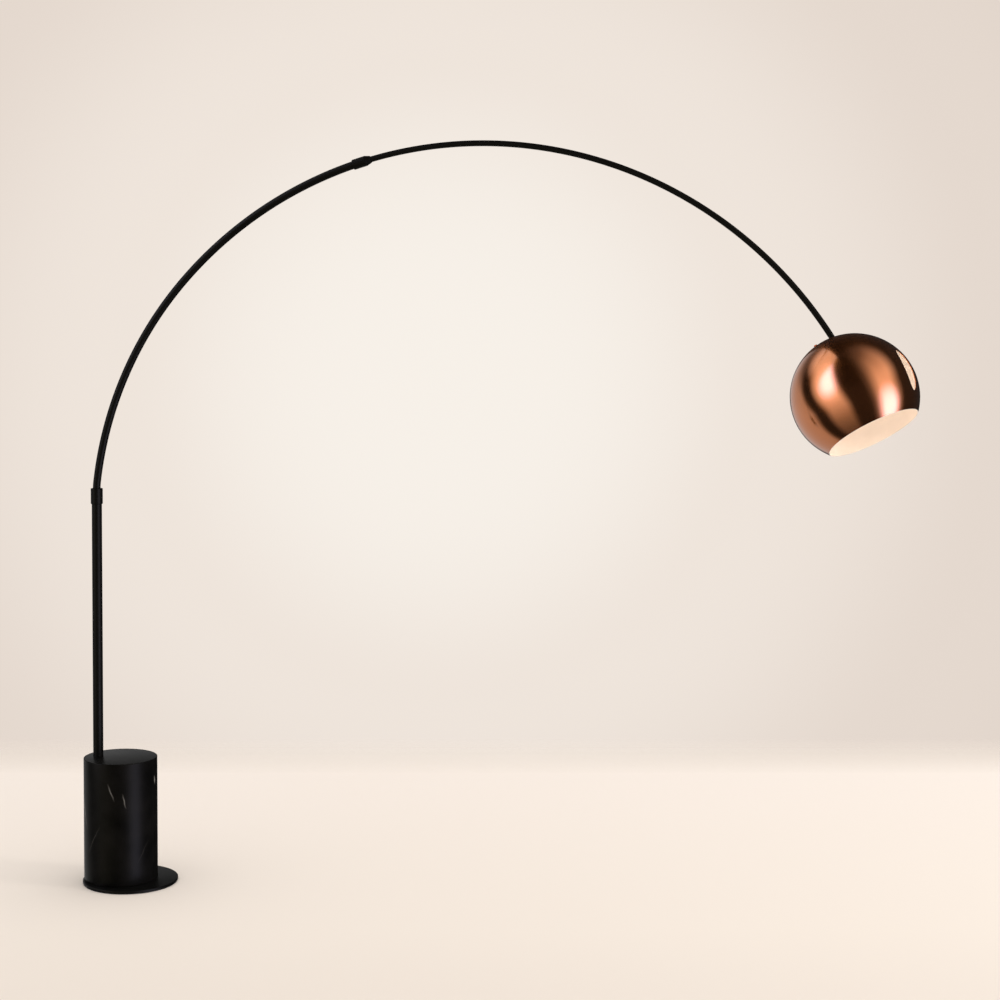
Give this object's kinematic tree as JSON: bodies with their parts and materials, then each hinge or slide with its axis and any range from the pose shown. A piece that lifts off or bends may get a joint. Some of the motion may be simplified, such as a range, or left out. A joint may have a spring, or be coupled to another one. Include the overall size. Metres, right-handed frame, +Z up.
{
  "type": "arc floor lamp",
  "caption": "Arc floor lamp: marble-weighted round base, swivelling post, telescoping curved arm and a tilting ball shade with a side cut-out.",
  "frame": {"origin": "centre of the base pad underside, on the floor", "axes": "+Z up, +X from the post towards the shade, in the plane of the arc"},
  "size_m": [2.0092, 0.2869, 1.8149],
  "materials": {
    "black_powder_coat": "satin black powder coat",
    "black_marble": "polished black marble with thin white veins",
    "copper": "lacquered copper plating outside, warm white enamel inside",
    "foam": "black closed-cell foam",
    "black_rubber": "matt rubber",
    "zinc_steel": "zinc plated",
    "black_screws": "black oxide",
    "brass": "turned brass",
    "nylon": "natural nylon",
    "bakelite": "moulded black phenolic",
    "porcelain": "white glazed porcelain",
    "nickel": "nickel plated thread",
    "bulb_white": "white moulded housing",
    "opal_globe": "opal diffuser"
  },
  "bodies": {
    "base": {"base_pad": "foam", "base_plate": "black_powder_coat", "plate_screws": "zinc_steel", "marble_inserts": "brass", "marble_cylinder": "black_marble", "cable_grommet": "black_rubber", "post_foot": "zinc_steel", "post_bolt": "zinc_steel", "post_tube": "black_powder_coat", "post_bush_lower": "nylon", "post_bush_upper": "nylon", "lower_collar": "black_powder_coat", "collar_screw": "black_screws"},
    "lower_arm": {"lower_arm_tube": "black_powder_coat", "thrust_ring": "zinc_steel", "joint_collar": "black_powder_coat", "joint_bush": "nylon", "joint_screw": "black_screws"},
    "upper_arm": {"upper_arm_tube": "black_powder_coat", "guide_sleeve": "nylon", "tip_bush": "brass"},
    "knuckle": {"knuckle_fork": "black_powder_coat", "swivel_clip": "zinc_steel", "hinge_bolt": "black_screws", "hinge_nut": "zinc_steel"},
    "shade": {"shade_yoke": "zinc_steel", "shade_pillars": "brass", "crown_screws": "copper", "shade": "copper", "holder_nipple": "brass", "nipple_nut": "brass", "holder_cap": "bakelite", "holder_body": "bakelite", "holder_base": "porcelain", "thread_shell": "brass", "centre_contact": "brass", "bulb_cap": "nickel", "bulb_tip": "brass", "bulb_housing": "bulb_white", "bulb_globe": "opal_globe"}
  },
  "joints": [
    {"name": "arm_swivel", "type": "hinge", "parent": "base", "child": "lower_arm", "pos_m": [-0.084, 0, 0.958], "axis": [0, 0, 1], "range_deg": [-60, 60]},
    {"name": "arm_extend", "type": "hinge", "parent": "lower_arm", "child": "upper_arm", "pos_m": [0.86954, 0, 0.82797], "axis": [0, 1, 0], "range_deg": [-8, 4]},
    {"name": "shade_turn", "type": "hinge", "parent": "upper_arm", "child": "knuckle", "pos_m": [1.71057, 0, 1.33175], "axis": [-0.5373, 0, 0.8434], "range_deg": [-150, 150]},
    {"name": "shade_tilt", "type": "hinge", "parent": "knuckle", "child": "shade", "pos_m": [1.71057, 0, 1.33175], "axis": [0.8087, -0.284, 0.5152], "range_deg": [-13, 46]}
  ]
}
